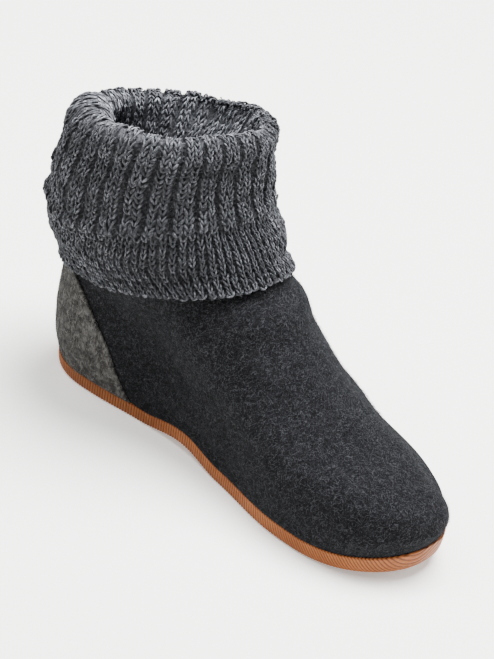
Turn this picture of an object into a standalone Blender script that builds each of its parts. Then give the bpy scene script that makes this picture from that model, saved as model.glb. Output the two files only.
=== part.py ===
# A left hut slipper: a boiled-wool upper on a ribbed rubber sole, with a pale heel piece, a felt
# insole and a turned-down rib-knit cuff.
#
# Sizes are in millimetres and become metres when a mesh is made. The last is described by
#   along   distance from the back of the sole (0) to its tip, which points to -Y
#   across  distance from the middle line, positive on the medial side, which faces -X on a left shoe
#   height  distance above the floor

import math

import bpy
import numpy as np

MM = 0.001
FULL_TURN = 2 * math.pi
SHARP_ANGLE = math.radians(40)


def table(columns, *rows):
    return {name: np.array(values, float) for name, values in zip(columns.split(), zip(*rows))}


# Sole
SOLE_LENGTH = 262.0
SOLE_THICKNESS = (8.5, 9.5)   # at the heel and at the ball
TOE_THICKENING = 2.5          # added on the way to the tip
HEEL_ROUNDING = 36.0          # length of the round at the back of the outline
TOE_ROUNDING_MEDIAL = 56.0    # the tip turns later on the big-toe side
TOE_ROUNDING_LATERAL = 74.0
ROUNDING_POWER = 2.3
TIP_SHIFT = 5.0               # the tip leans towards the big toe
TIP_SHIFT_START = 0.55
HEEL_FLAT = (16.0, 76.0)      # stretches of the sole that stand on the floor
BALL_FLAT = (142.0, 200.0)
HEEL_RISE = 2.5
ARCH_RISE = 4.0
TOE_SPRING = 7.5
EDGE_RUN = 4.5                # how far the side of the sole rounds in under it
EDGE_RUN_SHARE = 0.8          # and at most this share of the half width
SIDE_ANGLES = np.radians([0, 18, 42, 66, 90])
END_CUT = 0.35                # the first and last sections stand this far in from the ends
END_RUN_HEEL = 7.0
END_RUN_TOE = 11.0
RIB_PITCH = 2.9               # cross ribs moulded round the edge
RIB_DEPTH = 0.45
SOLE_OUTLINE = table(
    "at medial lateral",
    (0.00, 31.0, 31.0),
    (0.18, 31.5, 33.0),
    (0.30, 29.5, 34.4),
    (0.42, 31.5, 36.5),
    (0.55, 38.5, 42.0),
    (0.70, 47.0, 48.0),
    (0.85, 46.0, 45.0),
    (1.00, 41.0, 38.0),
)

# Upper: one row for each ring of the last, from the feather line (level 0) to the collar (level 1)
WALL = 3.5
SOLE_GAP = 0.4
UPPER_RINGS = table(
    "level back back_height front front_height medial lateral roundness",
    (0.00, 2.5, 8.0, 259.5, 19.0, 45.5, 46.5, 0.00),
    (0.10, -2.0, 20.0, 263.5, 27.0, 48.0, 48.0, 0.00),
    (0.20, -4.5, 33.0, 260.0, 36.5, 47.0, 46.0, 0.04),
    (0.32, -5.5, 45.0, 246.0, 43.0, 45.0, 42.5, 0.12),
    (0.46, -5.5, 57.0, 222.0, 49.5, 42.5, 40.0, 0.25),
    (0.60, -5.0, 67.0, 193.5, 59.5, 41.0, 39.5, 0.45),
    (0.74, -4.0, 77.0, 166.5, 77.0, 41.0, 40.5, 0.70),
    (0.87, -2.5, 87.0, 140.5, 96.0, 41.0, 41.0, 0.90),
    (1.00, -0.5, 97.0, 118.0, 117.0, 41.5, 42.0, 1.00),
)
FEATHER_FADE = 0.25           # level by which the rings have left the curve of the sole
UPPER_ROUND = 66              # points round a ring
UPPER_ROWS = 14

# Insole
INSOLE_THICKNESS = 4.0
INSOLE_GAP = 0.6
INSOLE_STATIONS = 34

# Heel piece: an overlay on the upper, wide at the sole and narrow under the cuff
HEEL_PIECE_OFFSET = 0.55
HEEL_PIECE_THICKNESS = 1.1
HEEL_PIECE_ROWS = 10           # the rows lie on the upper's own rows, so that the gap stays even
HEEL_PIECE_TOP = (HEEL_PIECE_ROWS - 1) / (UPPER_ROWS - 1)
HEEL_PIECE_REACH = (70.0, 6.0)    # how far forward its front edges come, at the sole and at the top
HEEL_PIECE_COLUMNS = 24

# Cuff: rings from above the hem, up the outside, over the fold and down the inside
KNIT_LAYER = 3.2
CUFF_CLEARANCE = (2.0, 0.6)   # of the hanging layer, over the heel piece at the back and at the front
COLLAR_GAP = 0.5
HEM = table(                  # level of the hem on the upper, by share of the way to the front
    "at level",
    (0.0, 0.57),
    (0.5, 0.83),
    (1.0, 0.94),
)
INNER_LEVEL = 0.90
HEM_FAN = 0.18                # the ribs spread towards the front of the hem
SLOT_SHARES = (0.66, 0.33, 0.0)   # rows of the slot's outer wall, from the collar down to the hem
RIBS = 30
RIB_COLUMNS = ("valley", "ridge", "ridge")
CUFF_RINGS = table(
    "back back_height front front_height half_width rib_depth fan",
    (-15.0, 80.0, 126.5, 117.0, 50.5, 1.4, 0.12),
    (-20.5, 94.0, 118.0, 127.0, 54.5, 2.0, 0.06),
    (-22.0, 110.0, 109.5, 139.0, 56.5, 2.0, 0.02),
    (-20.0, 126.0, 103.5, 152.0, 55.0, 2.0, 0.00),
    (-17.0, 140.0, 101.5, 165.0, 52.5, 2.0, 0.00),
    (-15.5, 151.0, 102.5, 175.5, 52.0, 1.8, 0.00),
    (-8.0, 157.5, 95.0, 182.5, 45.0, 1.2, 0.00),
    (-0.5, 152.5, 87.5, 177.5, 38.5, 1.2, 0.00),
    (-3.0, 138.0, 89.5, 163.5, 40.5, 1.0, 0.00),
    (-4.0, 120.0, 98.0, 142.0, 41.5, 0.6, 0.06),
)


def along_table(rows, column, at, key="at"):
    """Smooth cubic through one column of a table."""
    x, y = rows[key], rows[column]
    at = np.clip(np.asarray(at, float), x[0], x[-1])
    step, rise = np.diff(x), np.diff(y) / np.diff(x)
    inner_slope = (rise[:-1] * step[1:] + rise[1:] * step[:-1]) / (step[1:] + step[:-1])
    slope = np.concatenate([rise[:1], inner_slope, rise[-1:]])
    i = np.clip(np.searchsorted(x, at) - 1, 0, len(x) - 2)
    u = (at - x[i]) / step[i]
    start = (1 + 2 * u) * (1 - u) ** 2 * y[i] + u * (1 - u) ** 2 * step[i] * slope[i]
    end = u**2 * (3 - 2 * u) * y[i + 1] + u**2 * (u - 1) * step[i] * slope[i + 1]
    return start + end


def ease(u):
    u = np.clip(u, 0.0, 1.0)
    return u * u * (3 - 2 * u)


def round_end(distance, length, power=ROUNDING_POWER):
    """1 away from an end, falling to 0 at it along a superellipse."""
    return (1 - np.clip(1 - distance / length, 0, 1) ** power) ** (1 / power)


def half_width(at, medial):
    """Half width of the sole's outline at a share of its length, on one side."""
    along = np.asarray(at, float) * SOLE_LENGTH
    width = along_table(SOLE_OUTLINE, "medial" if medial else "lateral", at)
    toe = TOE_ROUNDING_MEDIAL if medial else TOE_ROUNDING_LATERAL
    return width * round_end(along, HEEL_ROUNDING) * round_end(SOLE_LENGTH - along, toe)


def tip_shift(at):
    return TIP_SHIFT * ease((np.asarray(at, float) - TIP_SHIFT_START) / (1 - TIP_SHIFT_START))


def toe_share(along):
    """0 up to the end of the ball's flat, rising to 1 at the tip."""
    return np.clip((np.asarray(along, float) - BALL_FLAT[1]) / (SOLE_LENGTH - BALL_FLAT[1]), 0, 1)


def sole_bottom(along):
    """Height of the underside: two flats on the floor, the arch between them and the toe spring ahead."""
    along = np.asarray(along, float)
    heel = HEEL_RISE * np.clip(1 - along / HEEL_FLAT[0], 0, 1) ** 2
    arch_share = np.clip((along - HEEL_FLAT[1]) / (BALL_FLAT[0] - HEEL_FLAT[1]), 0, 1)
    return heel + ARCH_RISE * np.sin(math.pi * arch_share) ** 2 + TOE_SPRING * toe_share(along) ** 2


def sole_thickness(along):
    share = (np.asarray(along, float) - HEEL_FLAT[1]) / (BALL_FLAT[0] - HEEL_FLAT[1])
    walk = SOLE_THICKNESS[0] + (SOLE_THICKNESS[1] - SOLE_THICKNESS[0]) * ease(share)
    return walk + TOE_THICKENING * toe_share(along) ** 2


def sole_top(along):
    return sole_bottom(along) + sole_thickness(along)


def place(across, along, height):
    """Points of the last in the slipper's frame, still in millimetres."""
    across, along, height = np.broadcast_arrays(across, along, height)
    return np.stack([-across, SOLE_LENGTH / 2 - along, height], axis=-1).astype(float)


def upper_surface(level, turn):
    """Outer face of the upper: level 0 to 1 from sole to collar, turn 0 at the heel and pi at the toe."""
    columns = [name for name in UPPER_RINGS if name != "level"]
    row = {name: along_table(UPPER_RINGS, name, level, key="level") for name in columns}
    at = (1 - np.cos(turn)) / 2
    medial = np.sin(turn) >= 0
    medial_foot = half_width(at, True) / SOLE_OUTLINE["medial"].max()
    lateral_foot = half_width(at, False) / SOLE_OUTLINE["lateral"].max()
    foot = np.where(medial, medial_foot, lateral_foot)
    shape = foot * (1 - row["roundness"]) + np.abs(np.sin(turn)) * row["roundness"]
    across = np.where(medial, row["medial"], -row["lateral"]) * shape
    across = across + tip_shift(at) * (1 - row["roundness"])
    along = row["back"] + (row["front"] - row["back"]) * at
    height = row["back_height"] + (row["front_height"] - row["back_height"]) * at
    first_back, first_front = UPPER_RINGS["back_height"][0], UPPER_RINGS["front_height"][0]
    straight = first_back + (first_front - first_back) * at
    feather = sole_top(np.clip(along, 0, SOLE_LENGTH)) + SOLE_GAP
    near_sole = 1 - ease(level / FEATHER_FADE)
    return place(across, along, height + (feather - straight) * near_sole)


def upper_offset(level, turn, distance):
    """The upper's outer face moved outwards by a distance, or inwards where that is negative."""
    level, turn = np.broadcast_arrays(np.asarray(level, float), np.asarray(turn, float))
    small = 1e-3
    low, high = np.clip(level - small, 0, 1), np.clip(level + small, 0, 1)
    up = upper_surface(high, turn) - upper_surface(low, turn)
    round_ = upper_surface(level, turn + small) - upper_surface(level, turn - small)
    normal = np.cross(round_, up)
    normal /= np.linalg.norm(normal, axis=-1, keepdims=True)
    return upper_surface(level, turn) + normal * np.asarray(distance, float)[..., None]


def turns(count):
    return np.arange(count) * FULL_TURN / count


def mesh_object(name, points, faces, material, parent):
    """A named solid from points in millimetres. Faces are wound so that they point out."""
    mesh = bpy.data.meshes.new(name)
    mesh.from_pydata((np.asarray(points) * MM).tolist(), [], faces)
    mesh.validate()
    mesh.materials.append(material)
    mesh.shade_smooth()
    mesh.set_sharp_from_angle(angle=SHARP_ANGLE)
    obj = bpy.data.objects.new(name, mesh)
    bpy.context.scene.collection.objects.link(obj)
    obj.parent = parent
    return obj


def grid_faces(rows, columns, close_rows=False, close_columns=False):
    """Quads of a grid of points, row by row, as lists of indices."""
    faces = []
    for r in range(rows if close_rows else rows - 1):
        for c in range(columns if close_columns else columns - 1):
            r2, c2 = (r + 1) % rows, (c + 1) % columns
            faces.append([r * columns + c, r * columns + c2, r2 * columns + c2, r2 * columns + c])
    return faces


def plain_material(name, colour, roughness):
    material = bpy.data.materials.new(name)
    material.use_nodes = True
    shader = material.node_tree.nodes["Principled BSDF"]
    shader.inputs["Base Color"].default_value = (*colour, 1.0)
    shader.inputs["Roughness"].default_value = roughness
    shader.inputs["Metallic"].default_value = 0.0
    return material


def outsole(parent, material):
    """Cross sections along the sole, on a rib and in a groove by turns, so that the ribs wrap its edge."""
    first, last = END_CUT, SOLE_LENGTH - END_CUT
    count = 2 * round((last - first) / RIB_PITCH) + 1
    stations = np.linspace(first, last, count)
    points = []
    for i, along in enumerate(stations):
        at = along / SOLE_LENGTH
        groove = RIB_DEPTH if i % 2 else 0.0
        ends = round_end(along, END_RUN_HEEL, 2) * round_end(SOLE_LENGTH - along, END_RUN_TOE, 2)
        depth = sole_thickness(along) * ends
        middle, top = tip_shift(at), sole_top(along)
        for medial in (True, False):
            width = half_width(at, medial)
            run = min(EDGE_RUN, EDGE_RUN_SHARE * width)
            in_groove = groove * np.sqrt(np.sin(2 * SIDE_ANGLES))
            across = width - run * (1 - np.cos(SIDE_ANGLES)) - in_groove * np.cos(SIDE_ANGLES)
            height = top - (depth - in_groove) * np.sin(SIDE_ANGLES)
            section = place(middle + (across if medial else -across), along, height)
            points.extend(section if medial else section[::-1])
    ring = 2 * len(SIDE_ANGLES)
    faces = grid_faces(count, ring, close_columns=True)
    faces.append(list(range(ring))[::-1])
    faces.append(list(range((count - 1) * ring, count * ring)))
    return mesh_object("outsole", points, faces, material, parent)


def upper(parent, material):
    """The felt shell: its outer and inner faces, joined at the collar and along the feather line."""
    level, turn = np.meshgrid(np.linspace(0, 1, UPPER_ROWS), turns(UPPER_ROUND), indexing="ij")
    outer = upper_offset(level, turn, 0.0)
    inner = upper_offset(level, turn, -WALL)
    inner[0, :, 2] = sole_top(SOLE_LENGTH / 2 - inner[0, :, 1]) + SOLE_GAP
    shell = np.concatenate([outer, inner[::-1]])
    faces = grid_faces(len(shell), UPPER_ROUND, close_rows=True, close_columns=True)
    return mesh_object("upper", shell.reshape(-1, 3), faces, material, parent)


def insole(parent, material):
    """A flat felt bed inside the upper, following the sole."""
    turn = np.linspace(0, math.pi, INSOLE_STATIONS)[1:-1]
    medial = upper_offset(0.0, turn, -WALL - INSOLE_GAP)
    lateral = upper_offset(0.0, -turn, -WALL - INSOLE_GAP)
    lateral[:, 1] = medial[:, 1]
    bed = sole_top(SOLE_LENGTH / 2 - medial[:, 1]) + SOLE_GAP
    corners = []
    for edge, lift in ((medial, 0), (lateral, 0), (lateral, INSOLE_THICKNESS), (medial, INSOLE_THICKNESS)):
        corner = edge.copy()
        corner[:, 2] = bed + lift
        corners.append(corner)
    points = np.stack(corners, axis=1).reshape(-1, 3)
    faces = grid_faces(len(turn), 4, close_columns=True)
    faces.append([3, 2, 1, 0])
    last = 4 * (len(turn) - 1)
    faces.append([last, last + 1, last + 2, last + 3])
    return mesh_object("insole", points, faces, material, parent)


def heel_piece(parent, material):
    """The pale felt at the heel, cut between two forms that are larger than the upper."""
    levels = np.linspace(0.0, HEEL_PIECE_TOP, HEEL_PIECE_ROWS)
    sweep = np.linspace(-1, 1, HEEL_PIECE_COLUMNS)
    reach = HEEL_PIECE_REACH[0] + (HEEL_PIECE_REACH[1] - HEEL_PIECE_REACH[0]) * levels / HEEL_PIECE_TOP
    back = along_table(UPPER_RINGS, "back", levels, key="level")
    front = along_table(UPPER_RINGS, "front", levels, key="level")
    edge_turn = np.arccos(1 - 2 * (reach - back) / (front - back))
    level, turn = np.broadcast_arrays(levels[:, None], edge_turn[:, None] * sweep[None, :])
    near = upper_offset(level, turn, HEEL_PIECE_OFFSET)
    far = upper_offset(level, turn, HEEL_PIECE_OFFSET + HEEL_PIECE_THICKNESS)
    for face in (near, far):
        face[0, :, 2] = sole_top(np.clip(SOLE_LENGTH / 2 - face[0, :, 1], 0, SOLE_LENGTH)) + SOLE_GAP
    loop = np.concatenate([far, near[:, ::-1]], axis=1)
    columns = loop.shape[1]
    faces = grid_faces(HEEL_PIECE_ROWS, columns, close_columns=True)
    for c in range(HEEL_PIECE_COLUMNS - 1):
        bottom = [c, c + 1, columns - 2 - c, columns - 1 - c]
        faces.append(bottom[::-1])
        faces.append([(HEEL_PIECE_ROWS - 1) * columns + i for i in bottom])
    return mesh_object("heel_piece", loop.reshape(-1, 3), faces, material, parent)


def cuff_ring(index, turn, groove):
    """One ring of the cuff's table, with its ribs cut in towards the middle of the knit."""
    row = {name: values[index] for name, values in CUFF_RINGS.items()}
    turn = turn - row["fan"] * np.sin(turn)
    middle, half_length = (row["front"] + row["back"]) / 2, (row["front"] - row["back"]) / 2
    outside = index < np.argmax(CUFF_RINGS["back_height"]) + 1
    depth = groove * row["rib_depth"] * (1 if outside else -1)
    at = (1 - np.cos(turn)) / 2
    height = row["back_height"] + (row["front_height"] - row["back_height"]) * at
    across = (row["half_width"] - depth) * np.sin(turn)
    along = middle - (half_length - depth) * np.cos(turn)
    return place(across, along, height)


def cuff(parent, material):
    """A folded knit tube that hooks over the collar: hem, outside, fold, inside and a slot for the felt."""
    columns = RIBS * len(RIB_COLUMNS)
    turn = turns(columns)
    groove = np.array([name == "valley" for name in RIB_COLUMNS] * RIBS, float)
    low_turn = turn - HEM_FAN * np.sin(turn)
    at = (1 - np.cos(low_turn)) / 2
    hem = along_table(HEM, "level", at)
    clearance = CUFF_CLEARANCE[0] + (CUFF_CLEARANCE[1] - CUFF_CLEARANCE[0]) * at
    inside = -(WALL + COLLAR_GAP)
    top = np.array([0.0, 0.0, COLLAR_GAP])
    rows = [upper_offset(hem, low_turn, clearance + KNIT_LAYER - groove)]
    rows += [cuff_ring(i, turn, groove) for i in range(len(CUFF_RINGS["back"]))]
    rows.append(upper_offset(INNER_LEVEL, low_turn, inside - KNIT_LAYER))
    rows.append(upper_offset(INNER_LEVEL, low_turn, inside))
    rows.append(upper_offset(1.0, low_turn, inside) + top)
    rows.append(upper_offset(1.0, low_turn, clearance) + top)
    rows += [upper_offset(hem + (1 - hem) * share, low_turn, clearance) for share in SLOT_SHARES]
    faces = grid_faces(len(rows), columns, close_rows=True, close_columns=True)
    return mesh_object("cuff", np.concatenate(rows), faces, material, parent)


def main():
    for obj in list(bpy.data.objects):
        bpy.data.objects.remove(obj)
    slipper = bpy.data.objects.new("slipper", None)
    bpy.context.scene.collection.objects.link(slipper)
    pieces = [
        outsole(slipper, plain_material("sole_rubber", (0.48, 0.20, 0.075), 0.6)),
        upper(slipper, plain_material("dark_felt", (0.035, 0.038, 0.043), 0.95)),
        insole(slipper, plain_material("insole_felt", (0.16, 0.16, 0.165), 0.95)),
        heel_piece(slipper, plain_material("pale_felt", (0.27, 0.265, 0.25), 0.95)),
        cuff(slipper, plain_material("rib_knit", (0.12, 0.122, 0.13), 0.95)),
    ]
    corners = np.array([vertex.co for piece in pieces for vertex in piece.data.vertices])
    middle = (corners.min(axis=0) + corners.max(axis=0)) / 2
    slipper.location = (-middle[0], -middle[1], 0.0)


main()
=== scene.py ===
import math

import bpy
import numpy as np
from mathutils import Matrix, Vector


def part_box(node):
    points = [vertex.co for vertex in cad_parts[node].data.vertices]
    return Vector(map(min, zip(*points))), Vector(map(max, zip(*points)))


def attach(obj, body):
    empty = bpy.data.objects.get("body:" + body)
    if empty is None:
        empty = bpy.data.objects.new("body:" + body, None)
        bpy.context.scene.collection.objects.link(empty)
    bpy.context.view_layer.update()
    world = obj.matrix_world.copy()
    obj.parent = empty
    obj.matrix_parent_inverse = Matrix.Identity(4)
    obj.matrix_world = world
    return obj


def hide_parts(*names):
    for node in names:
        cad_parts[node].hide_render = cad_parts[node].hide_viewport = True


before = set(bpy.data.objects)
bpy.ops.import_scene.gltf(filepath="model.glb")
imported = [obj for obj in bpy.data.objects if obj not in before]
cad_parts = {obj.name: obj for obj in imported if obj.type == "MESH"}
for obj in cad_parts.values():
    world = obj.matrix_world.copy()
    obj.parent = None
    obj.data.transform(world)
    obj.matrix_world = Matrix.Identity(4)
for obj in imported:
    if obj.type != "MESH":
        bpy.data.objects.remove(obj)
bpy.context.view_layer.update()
print("frame loaded:", ", ".join(sorted(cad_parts)))

mm = 0.001
fullTurn = 2 * math.pi


def table(columns, *rows):
    return {name: np.array(values, float) for name, values in zip(columns.split(), zip(*rows))}


# the last, in millimetres: along from the back of the sole, across to the medial side, height above the floor
last = dict(
    length=262.0,
    endCut=0.35,  # the sole's sections start this far in from its ends
    heelRounding=36.0,
    toeRounding={"medial": 56.0, "lateral": 74.0},
    roundingPower=2.3,
    tipShift=5.0,
    tipShiftStart=0.55,
    heelFlat=16.0,  # where it starts along the sole
    arch=(76.0, 142.0),
    ballEnd=200.0,
    heelRise=2.5,
    archRise=4.0,
    toeSpring=7.5,
    soleThickness=(8.5, 9.5),  # heel, ball
    toeThickening=2.5,  # added on the way to the tip
    outline=table(
        "at medial lateral",
        (0, 31, 31),
        (0.18, 31.5, 33),
        (0.3, 29.5, 34.4),
        (0.42, 31.5, 36.5),
        (0.55, 38.5, 42),
        (0.7, 47, 48),
        (0.85, 46, 45),
        (1, 41, 38),
    ),
    wall=3.5,
    soleGap=0.4,
    featherFade=0.25,
    rings=table(
        "level back backHeight front frontHeight medial lateral roundness",
        (0, 2.5, 8, 259.5, 19, 45.5, 46.5, 0),
        (0.1, -2, 20, 263.5, 27, 48, 48, 0),
        (0.2, -4.5, 33, 260, 36.5, 47, 46, 0.04),
        (0.32, -5.5, 45, 246, 43, 45, 42.5, 0.12),
        (0.46, -5.5, 57, 222, 49.5, 42.5, 40, 0.25),
        (0.6, -5, 67, 193.5, 59.5, 41, 39.5, 0.45),
        (0.74, -4, 77, 166.5, 77, 41, 40.5, 0.7),
        (0.87, -2.5, 87, 140.5, 96, 41, 41, 0.9),
        (1, -0.5, 97, 118, 117, 41.5, 42, 1),
    ),
    lumpWaves=14,  # of the unevenness of soft surfaces
    lumpSizes=(0.7, 1.5),
)
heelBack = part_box("outsole")[1].y / mm + last["endCut"]  # where along is 0, in the frame


def part(value, low, high):  # how far a value is on the way from low to high, 0 to 1
    return np.clip((value - low) / (high - low), 0, 1)


def ease(value, low=0.0, high=1.0):  # the same with a soft start and end
    u = part(value, low, high)
    return u * u * (3 - 2 * u)


def between(start, end, share):
    return start + (end - start) * share


def curve(u, start, end, startSlope, endSlope):
    return ((1 + 2 * u) * (1 - u) ** 2 * start + u * (1 - u) ** 2 * startSlope
            + u**2 * (3 - 2 * u) * end + u**2 * (u - 1) * endSlope)


def alongTable(rows, column, at, key="at"):
    x, y = rows[key], rows[column]
    at = np.clip(np.asarray(at, float), x[0], x[-1])
    step, rise = np.diff(x), np.diff(y) / np.diff(x)
    inner = (rise[:-1] * step[1:] + rise[1:] * step[:-1]) / (step[1:] + step[:-1])
    slope = np.concatenate([rise[:1], inner, rise[-1:]])
    i = np.clip(np.searchsorted(x, at) - 1, 0, len(x) - 2)
    return curve((at - x[i]) / step[i], y[i], y[i + 1], step[i] * slope[i], step[i] * slope[i + 1])


def roundEnd(distance, length, power=last["roundingPower"]):
    return (1 - np.clip(1 - distance / length, 0, 1) ** power) ** (1 / power)


def unit(vectors):
    return vectors / np.maximum(np.linalg.norm(vectors, axis=-1, keepdims=True), 1e-12)


def place(across, along, height):
    across, along, height = np.broadcast_arrays(across, along, height)
    return np.stack([-across, heelBack - along, height], axis=-1).astype(float)


def alongOf(points):
    return heelBack - points[..., 1]


def lengthShare(turn):  # how far along a ring a turn is: 0 at the heel, 1 at the toe
    return (1 - np.cos(turn)) / 2


def halfWidth(at, side):
    along = at * last["length"]
    heel, toe = last["heelRounding"], last["toeRounding"][side]
    width = alongTable(last["outline"], side, at)
    return width * roundEnd(along, heel) * roundEnd(last["length"] - along, toe)


def tipShift(at):
    return last["tipShift"] * ease(at, last["tipShiftStart"], 1.0)


def toeShare(along):  # 0 up to the end of the ball's flat, 1 at the tip
    return part(along, last["ballEnd"], last["length"])


def soleBottom(along):
    heel = last["heelRise"] * np.clip(1 - along / last["heelFlat"], 0, 1) ** 2
    arch = last["archRise"] * np.sin(math.pi * part(along, *last["arch"])) ** 2
    return heel + arch + last["toeSpring"] * toeShare(along) ** 2


def soleThickness(along):
    share = ease(along, *last["arch"])
    return between(*last["soleThickness"], share) + last["toeThickening"] * toeShare(along) ** 2


def soleTop(along):
    return soleBottom(along) + soleThickness(along)


def feather(along):  # height of the felt's lower edge
    return soleTop(np.clip(along, 0, last["length"])) + last["soleGap"]


def upperPoint(level, turn):  # level 0 to 1 from sole to collar, turn 0 heel and pi toe
    rings = last["rings"]
    row = {name: alongTable(rings, name, level, key="level") for name in rings if name != "level"}
    at = lengthShare(turn)
    medial = np.sin(turn) >= 0
    feet = [halfWidth(at, side) / last["outline"][side].max() for side in ("medial", "lateral")]
    shape = np.where(medial, *feet) * (1 - row["roundness"]) + np.abs(np.sin(turn)) * row["roundness"]
    across = np.where(medial, row["medial"], -row["lateral"]) * shape + tipShift(at) * (1 - row["roundness"])
    along = between(row["back"], row["front"], at)
    height = between(row["backHeight"], row["frontHeight"], at)
    straight = between(rings["backHeight"][0], rings["frontHeight"][0], at)
    fade = 1 - ease(level, 0, last["featherFade"])
    return place(across, along, height + (feather(along) - straight) * fade)


def upperNormal(level, turn):
    small = 1e-3
    up = upperPoint(np.clip(level + small, 0, 1), turn) - upperPoint(np.clip(level - small, 0, 1), turn)
    around = upperPoint(level, turn + small) - upperPoint(level, turn - small)
    return unit(np.cross(around, up))


def upperOffset(level, turn, distance):
    level, turn = np.broadcast_arrays(np.asarray(level, float), turn)
    return upperPoint(level, turn) + upperNormal(level, turn) * np.asarray(distance, float)[..., None]


def turnAt(along, level, side):  # the turn whose point lies at a distance along the shoe
    back, front = (alongTable(last["rings"], name, level, key="level") for name in ("back", "front"))
    return side * np.arccos(np.clip(1 - 2 * (along - back) / (front - back), -1, 1))


def turns(steps):
    return np.arange(steps) * fullTurn / steps


def softLumps(points, lumps):  # an even, repeatable unevenness: size, height and seed of each kind
    total, waves = 0, last["lumpWaves"]
    for size, height, seed in lumps:
        rng = np.random.default_rng(seed)
        ways = unit(rng.normal(size=(waves, 3))) * fullTurn
        ways = ways / (size * rng.uniform(*last["lumpSizes"], (waves, 1)))
        phases = rng.uniform(0, fullTurn, waves)
        total = total + height * (np.sin(points @ ways.T + phases).sum(axis=-1) / math.sqrt(waves))
    return total


def nearLine(points, line):  # distance to a line of points, in millimetres
    nearest = np.full(points.shape[:-1], np.inf)
    for a, b in zip(line[:-1], line[1:]):
        share = np.clip(((points - a) @ (b - a)) / max((b - a) @ (b - a), 1e-9), 0, 1)
        nearest = np.minimum(nearest, np.linalg.norm(points - (a + share[..., None] * (b - a)), axis=-1))
    return nearest


# meshes

def linked(name, data):
    made = bpy.data.objects.new(name, data)
    bpy.context.scene.collection.objects.link(made)
    return made


def meshObject(name, points, faces, material, attributes=None):
    mesh = bpy.data.meshes.new(name)
    mesh.from_pydata((np.asarray(points, float).reshape(-1, 3) * mm).tolist(), [], faces)
    for key, values in (attributes or {}).items():
        values = np.asarray(values, np.float32)
        isVector = values.ndim > 1 and values.shape[-1] == 3
        layer = mesh.attributes.new(key, "FLOAT_VECTOR" if isVector else "FLOAT", "POINT")
        layer.data.foreach_set("vector" if isVector else "value", values.ravel())
    if material:
        mesh.materials.append(material)
    mesh.shade_smooth()
    return linked(name, mesh)


def gridFaces(rows, columns, closeRows=False):  # each row of points is a closed loop
    r, c = np.meshgrid(np.arange(rows if closeRows else rows - 1), np.arange(columns), indexing="ij")
    r2, c2 = (r + 1) % rows, (c + 1) % columns
    corners = [r * columns + c, r * columns + c2, r2 * columns + c2, r2 * columns + c]
    return np.stack(corners, axis=-1).reshape(-1, 4).tolist()


def slabFaces(rows, columns):  # the loops of a flat piece, and strips that close its two ends
    faces = gridFaces(rows, columns)
    for c in range(columns // 2 - 1):
        cap = [c, c + 1, columns - 2 - c, columns - 1 - c]
        faces += [cap[::-1], [(rows - 1) * columns + i for i in cap]]
    return faces


def tubeObject(name, paths, radii, sides):  # one mesh of closed tubes, to be repeated
    cos, sin = np.cos(turns(sides)), np.sin(turns(sides))
    points, faces, yarns, start = [], [], [], 0
    for path in paths:
        forward = unit(np.gradient(path, axis=0))
        side = unit(np.cross(forward, (0.0, 0.0, 1.0)))
        out = np.cross(side, forward)
        ring = side[:, None] * cos[None, :, None] + out[:, None] * sin[None, :, None]
        points.append((path[:, None] + radii[:, None, None] * ring).reshape(-1, 3))
        share = np.linspace(0, 1, len(path))[:, None]
        yarns.append(np.stack(np.broadcast_arrays(share, cos[None], sin[None]), axis=-1).reshape(-1, 3))
        faces += [[start + i for i in face[::-1]] for face in gridFaces(len(path), sides)]
        faces.append([start + i for i in range(sides)])
        start += len(path) * sides
        faces.append([start - 1 - i for i in range(sides)])
    made = meshObject(name, np.concatenate(points), faces, None, {"yarn": np.concatenate(yarns)})
    made.hide_render = True
    return made


# nodes: add gives one output of a new node, in the tree of any socket or node that is named first

def add(home, kind, links=None, out=0, **settings):
    tree = home.id_data
    made = tree.nodes.new(kind)
    for key, value in settings.items():
        setattr(made, key, value)
    for key, value in (links or {}).items():
        if isinstance(value, bpy.types.NodeSocket):
            tree.links.new(value, made.inputs[key])
        else:
            made.inputs[key].default_value = value
    return made.outputs[out]


def maths(operation, a, b=0.0):
    home = a if isinstance(a, bpy.types.NodeSocket) else b
    return add(home, "ShaderNodeMath", {0: a, 1: b}, operation=operation)


def times(a, b):
    return maths("MULTIPLY", a, b)


def noise(vector, scale, detail=2.0, roughness=0.5, out="Fac"):
    links = {"Vector": vector, "Scale": scale, "Detail": detail, "Roughness": roughness}
    return add(vector, "ShaderNodeTexNoise", links, out)


def span(value, low, high, outLow=0.0, outHigh=1.0, smooth=True):
    links = {"Value": value, "From Min": low, "From Max": high, "To Min": outLow, "To Max": outHigh}
    kind = "SMOOTHSTEP" if smooth else "LINEAR"
    return add(value, "ShaderNodeMapRange", links, "Result", interpolation_type=kind)


def blend(factor, a, b):
    return add(factor, "ShaderNodeMix", {0: factor, 6: a, 7: b}, 2, data_type="RGBA")


def stretched(vector, size, turn):  # turned coordinates drawn out one way, for fibres and streaks
    links = {"Vector": vector, "Scale": size, "Rotation": turn}
    return add(vector, "ShaderNodeMapping", links, vector_type="TEXTURE")


def bump(height, strength, distance):
    links = {"Height": height, "Strength": strength, "Distance": distance}
    return add(height, "ShaderNodeBump", links)


def attribute(shader, name, out="Fac"):
    return add(shader, "ShaderNodeAttribute", None, out, attribute_name=name)


def newMaterial(name, values):
    material = bpy.data.materials.new(name)
    material.use_nodes = True
    shader = material.node_tree.nodes["Principled BSDF"]
    for key, value in values.items():
        shader.inputs[key].default_value = value
    return material, shader, add(shader, "ShaderNodeTexCoord", None, "Object")


def dress(shader, base, normal=None, roughness=None):
    for key, wire in (("Base Color", base), ("Normal", normal), ("Roughness", roughness)):
        if wire is not None:
            shader.id_data.links.new(wire, shader.inputs[key])


def grey(value, tint=(1.0, 1.0, 1.0)):
    return (value * tint[0], value * tint[1], value * tint[2], 1.0)


# node groups: one stitch on every point of a mesh, and loose fibres over a surface

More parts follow.
